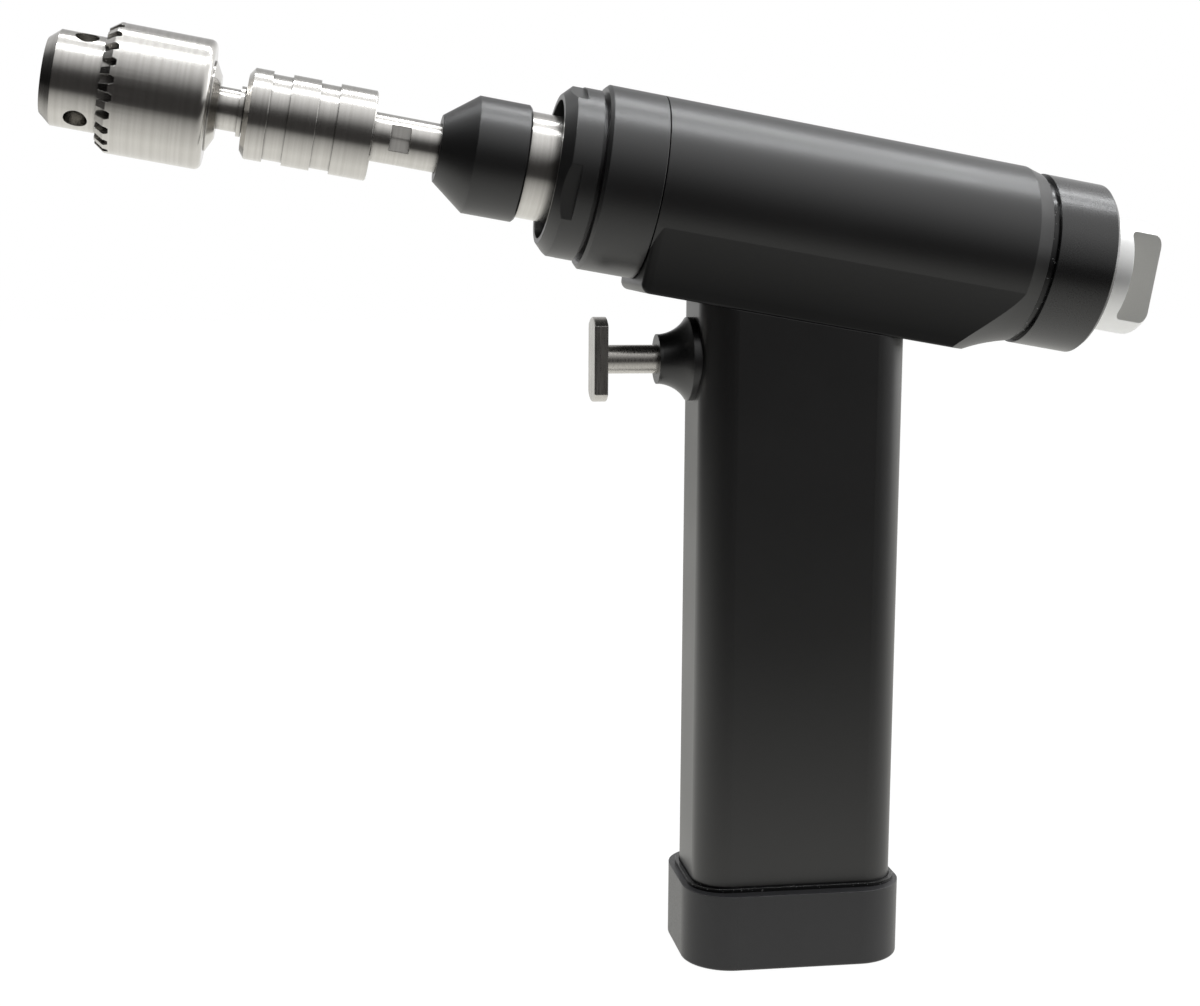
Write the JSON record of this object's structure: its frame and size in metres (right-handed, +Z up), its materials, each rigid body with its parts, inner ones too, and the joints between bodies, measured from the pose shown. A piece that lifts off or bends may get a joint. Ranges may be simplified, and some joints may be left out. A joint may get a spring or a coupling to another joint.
{
  "type": "surgical power drill",
  "caption": "Battery-powered pistol drill for surgery: keyed three-jaw chuck on a quick coupling, press trigger, selector knob and a battery that slides out of the handle.",
  "frame": {"origin": "centre of the base cap's bottom face", "axes": "+Z up along the handle, the chuck points towards -X and tilts up by 9.8 degrees, +Y to the side"},
  "size_m": [0.271, 0.0444, 0.2283],
  "materials": {
    "anodised_black": "satin anodised",
    "turned_steel": "turned, satin",
    "knob_silver": "bright turned",
    "bearing_steel": "polished",
    "spring_steel": "bright",
    "black_rubber": "smooth",
    "cap_plastic": "matte",
    "case_plastic": "matte",
    "cell_wrap": "film wrapped",
    "board_green": "solder mask",
    "switch_plastic": "moulded",
    "contact_brass": "plated",
    "gear_steel": "ground",
    "motor_steel": "zinc plated",
    "light_alloy": "machined",
    "magnet_ferrite": "sintered",
    "lead_sleeve": "flexible"
  },
  "bodies": {
    "frame": {"body_shell": "anodised_black", "nose_housing": "anodised_black", "spindle_bearings": "bearing_steel", "front_seal": "black_rubber", "lock_nut": "anodised_black", "ring_gear": "gear_steel", "gear_spacer": "light_alloy", "motor_front_plate": "motor_steel", "motor_can": "motor_steel", "motor_end_bell": "switch_plastic", "motor_bearings": "bearing_steel", "motor_magnets": "magnet_ferrite", "brush_holder": "switch_plastic", "motor_brushes": "contact_brass", "rear_cap": "anodised_black", "rear_seal": "black_rubber", "selector_switch": "switch_plastic", "handle_tube": "anodised_black", "handle_bracket": "light_alloy", "bracket_screws": "bearing_steel", "trigger_guide": "anodised_black", "trigger_seal": "black_rubber", "guide_nut": "light_alloy", "trigger_spring": "spring_steel", "trigger_switch": "switch_plastic", "control_board": "board_green", "contact_pins": "contact_brass", "motor_leads": "lead_sleeve"},
    "battery": {"base_cap": "cap_plastic", "base_seal": "black_rubber", "base_screws": "bearing_steel", "battery_case": "case_plastic", "battery_cells": "cell_wrap", "contact_plate": "case_plastic"},
    "trigger": {"trigger": "turned_steel"},
    "spindle": {"spindle": "turned_steel", "lock_balls": "bearing_steel", "collar_spring": "spring_steel", "adapter_shank": "turned_steel", "coupling_balls": "bearing_steel", "coupling_spring": "spring_steel", "chuck_arbor": "turned_steel", "chuck_body": "turned_steel", "planet_pins": "bearing_steel", "planet_carrier": "light_alloy"},
    "release_collar": {"release_collar": "anodised_black"},
    "coupling_sleeve": {"coupling_sleeve": "turned_steel"},
    "chuck_sleeve": {"chuck_sleeve": "turned_steel", "chuck_nut": "gear_steel"},
    "jaw_1": {"chuck_jaw_1": "gear_steel"},
    "jaw_2": {"chuck_jaw_2": "gear_steel"},
    "jaw_3": {"chuck_jaw_3": "gear_steel"},
    "planet_1": {"planet_gear_1": "gear_steel"},
    "planet_2": {"planet_gear_2": "gear_steel"},
    "planet_3": {"planet_gear_3": "gear_steel"},
    "rotor": {"motor_shaft": "bearing_steel", "rotor_core": "motor_steel", "commutator": "contact_brass", "sun_gear": "gear_steel"},
    "mode_knob": {"mode_knob": "knob_silver"}
  },
  "joints": [
    {"name": "spindle_spin", "type": "hinge", "parent": "frame", "child": "spindle", "pos_m": [-0.01971, 0, 0.1889], "axis": [-0.9854, 0, 0.1702], "continuous": true},
    {"name": "rotor_spin", "type": "hinge", "parent": "frame", "child": "rotor", "pos_m": [0.01971, 0, 0.1821], "axis": [-0.9854, 0, 0.1702], "continuous": true},
    {"name": "planet_1_spin", "type": "hinge", "parent": "spindle", "child": "planet_1", "pos_m": [-0.00511, 0, 0.19704], "axis": [-0.9854, 0, 0.1702], "continuous": true},
    {"name": "planet_2_spin", "type": "hinge", "parent": "spindle", "child": "planet_2", "pos_m": [-0.00779, 0.00909, 0.18152], "axis": [-0.9854, 0, 0.1702], "continuous": true},
    {"name": "planet_3_spin", "type": "hinge", "parent": "spindle", "child": "planet_3", "pos_m": [-0.00779, -0.00909, 0.18152], "axis": [-0.9854, 0, 0.1702], "continuous": true},
    {"name": "release_collar_slide", "type": "slide", "parent": "spindle", "child": "release_collar", "axis": [0.9854, 0, -0.1702], "range_m": [0, 0.005], "stiffness_N_per_m": 600, "springref_m": -0.006, "deforming": ["collar_spring"]},
    {"name": "coupling_sleeve_slide", "type": "slide", "parent": "spindle", "child": "coupling_sleeve", "axis": [0.9854, 0, -0.1702], "range_m": [0, 0.004], "stiffness_N_per_m": 600, "springref_m": -0.006, "deforming": ["coupling_spring"]},
    {"name": "chuck_sleeve_turn", "type": "hinge", "parent": "spindle", "child": "chuck_sleeve", "pos_m": [-0.15274, 0, 0.21188], "axis": [-0.9854, 0, 0.1702], "range_deg": [0, 3240]},
    {"name": "jaw_1_slide", "type": "slide", "parent": "spindle", "child": "jaw_1", "axis": [0.9568, -0.2572, -0.1355], "range_m": [0, 0.00966]},
    {"name": "jaw_2_slide", "type": "slide", "parent": "spindle", "child": "jaw_2", "axis": [0.9872, 0.154, 0.0406], "range_m": [0, 0.00966]},
    {"name": "jaw_3_slide", "type": "slide", "parent": "spindle", "child": "jaw_3", "axis": [0.9114, 0.1032, -0.3983], "range_m": [0, 0.00966]},
    {"name": "trigger_press", "type": "slide", "parent": "frame", "child": "trigger", "axis": [1, 0, 0], "range_m": [0, 0.008], "stiffness_N_per_m": 500, "springref_m": -0.006, "deforming": ["trigger_spring"]},
    {"name": "mode_knob_turn", "type": "hinge", "parent": "frame", "child": "mode_knob", "pos_m": [0.08376, 0, 0.17103], "axis": [-0.9854, 0, 0.1702], "range_deg": [-45, 45]},
    {"name": "battery_slide", "type": "slide", "parent": "frame", "child": "battery", "axis": [0, 0, -1], "range_m": [0, 0.14]}
  ],
  "couplings": [
    {"joint": "rotor_spin", "follows": "spindle_spin", "ratio": 5},
    {"joint": "planet_1_spin", "follows": "spindle_spin", "ratio": -2.6667},
    {"joint": "planet_2_spin", "follows": "spindle_spin", "ratio": -2.6667},
    {"joint": "planet_3_spin", "follows": "spindle_spin", "ratio": -2.6667},
    {"joint": "jaw_1_slide", "follows": "chuck_sleeve_turn", "m_per_rad": 0.00017083},
    {"joint": "jaw_2_slide", "follows": "chuck_sleeve_turn", "m_per_rad": 0.00017083},
    {"joint": "jaw_3_slide", "follows": "chuck_sleeve_turn", "m_per_rad": 0.00017083}
  ]
}
